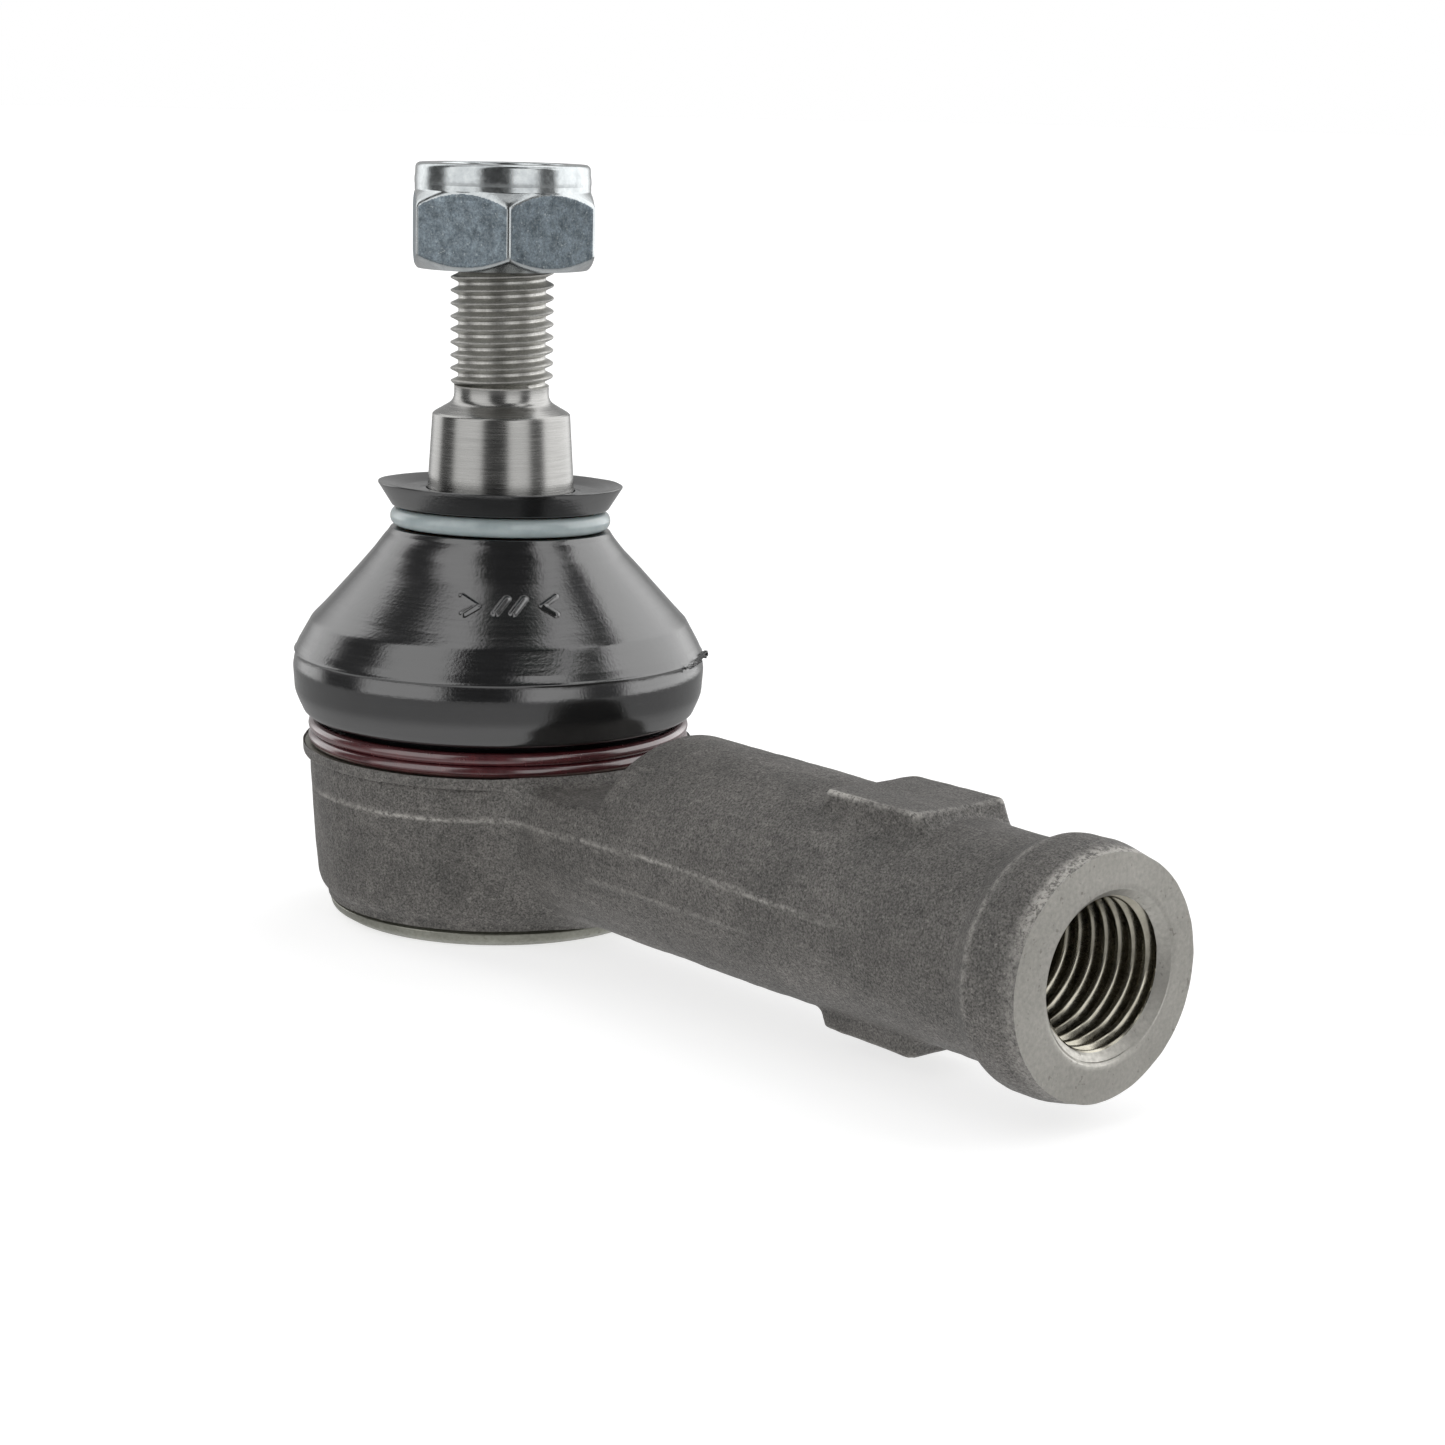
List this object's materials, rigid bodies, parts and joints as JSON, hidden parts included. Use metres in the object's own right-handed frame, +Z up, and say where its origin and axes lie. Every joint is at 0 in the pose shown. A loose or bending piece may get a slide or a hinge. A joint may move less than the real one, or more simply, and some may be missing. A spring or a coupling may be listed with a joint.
{
  "type": "tie rod end",
  "caption": "Steering tie rod end: forged housing with a ball joint, sealing boot, tapered stud and lock nut, and a threaded shank for the rod.",
  "frame": {"origin": "centre of the ball, the joint's pivot", "axes": "+Z up along the stud, +X out of the shank's threaded hole, +Y completes a right-handed set"},
  "size_m": [0.1037, 0.0404, 0.0735],
  "materials": {
    "forged_steel": "shot-blasted forging, dark grey-brown, machined where it fits",
    "acetal": "natural moulded acetal, greased",
    "spring_steel": "hardened spring steel, blued",
    "plate_steel": "pressed steel sheet, satin",
    "turned_steel": "turned and ground bare steel",
    "boot_rubber": "moulded chloroprene, semi-gloss with a mould line",
    "upper_ring_polymer": "pale blue-grey, glossy",
    "lower_ring_wire": "spring wire with a dark maroon coat",
    "nylon": "natural nylon",
    "zinc_steel": "bright zinc plate with a faint blue passivation"
  },
  "bodies": {
    "housing": {"housing": "forged_steel", "pressure_pad": "acetal", "preload_spring": "spring_steel", "closing_plate": "plate_steel", "boot_lower_ring": "lower_ring_wire"},
    "swing_seat": {"bearing_shell": "acetal", "dust_boot": "boot_rubber"},
    "boot_top": {"boot_upper_ring": "upper_ring_polymer"},
    "stud": {"ball_stud": "turned_steel"},
    "nut_slider": {"nut_insert": "nylon"},
    "nut": {"lock_nut": "zinc_steel"}
  },
  "joints": [
    {"name": "swing_direction", "type": "hinge", "parent": "housing", "child": "swing_seat", "pos_m": [0, 0, 0], "axis": [0, 0, 1], "continuous": true},
    {"name": "swing_angle", "type": "hinge", "parent": "swing_seat", "child": "boot_top", "pos_m": [0, 0, 0], "axis": [0, 1, 0], "range_deg": [-25, 25], "deforming": ["dust_boot"]},
    {"name": "stud_spin", "type": "hinge", "parent": "boot_top", "child": "stud", "pos_m": [0, 0, 0], "axis": [0, 0, 1], "continuous": true},
    {"name": "nut_travel", "type": "slide", "parent": "stud", "child": "nut_slider", "axis": [0, 0, 1], "range_m": [-0.0109, 0.005]},
    {"name": "nut_turn", "type": "hinge", "parent": "nut_slider", "child": "nut", "pos_m": [0, 0, 0.05], "axis": [0, 0, 1], "range_deg": [-3150, 1450]}
  ],
  "couplings": [
    {"joint": "nut_turn", "follows": "nut_travel", "rad_per_m": 5026.5}
  ]
}
